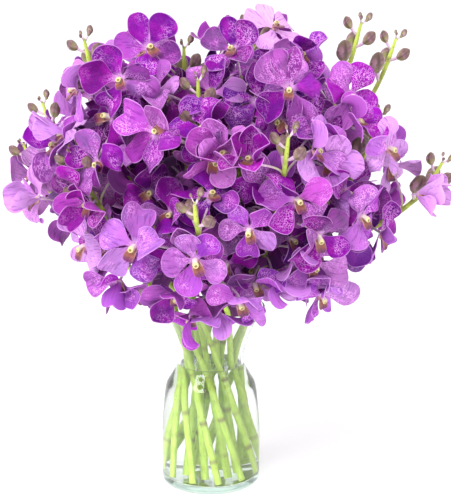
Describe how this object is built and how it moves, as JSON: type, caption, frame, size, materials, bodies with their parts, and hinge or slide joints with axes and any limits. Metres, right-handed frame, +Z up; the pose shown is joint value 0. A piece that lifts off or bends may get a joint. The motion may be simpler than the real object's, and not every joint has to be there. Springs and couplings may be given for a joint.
{
  "type": "bouquet of cut orchids in a glass vase",
  "caption": "Rounded bouquet of cut purple orchid sprays standing in water in a clear glass vase with a straight body, a narrow neck and a flared mouth.",
  "frame": {"origin": "centre of the vase's foot, on the surface that it stands on", "axes": "+Z up, -Y towards the bouquet's front, +X to the right seen from the front"},
  "size_m": [0.4379, 0.384, 0.4823],
  "materials": {
    "petals": "satin",
    "stems": "satin",
    "glass": "polished",
    "water": "polished"
  },
  "bodies": {
    "root": {"bloom_01": "petals", "bloom_02": "petals", "bloom_03": "petals", "bloom_04": "petals", "bloom_05": "petals", "bloom_06": "petals", "bloom_07": "petals", "bloom_08": "petals", "bloom_09": "petals", "bloom_10": "petals", "bloom_11": "petals", "bloom_12": "petals", "bloom_13": "petals", "bloom_14": "petals", "bloom_15": "petals", "bloom_16": "petals", "bloom_17": "petals", "bloom_18": "petals", "bloom_19": "petals", "bloom_20": "petals", "bloom_21": "petals", "bloom_22": "petals", "bloom_23": "petals", "bloom_24": "petals", "bloom_25": "petals", "bloom_26": "petals", "bloom_27": "petals", "bloom_28": "petals", "bloom_29": "petals", "bloom_30": "petals", "bloom_31": "petals", "bloom_32": "petals", "bloom_33": "petals", "bloom_34": "petals", "bloom_35": "petals", "bloom_36": "petals", "bloom_37": "petals", "bloom_38": "petals", "bloom_39": "petals", "bloom_40": "petals", "bloom_41": "petals", "bloom_42": "petals", "stem_01": "stems", "stem_02": "stems", "stem_03": "stems", "stem_04": "stems", "stem_05": "stems", "stem_06": "stems", "stem_07": "stems", "stem_08": "stems", "stem_09": "stems", "stem_10": "stems", "stem_11": "stems", "stem_12": "stems", "stem_13": "stems", "stem_14": "stems", "stem_15": "stems", "stem_16": "stems", "vase": "glass", "water": "water"}
  },
  "joints": []
}
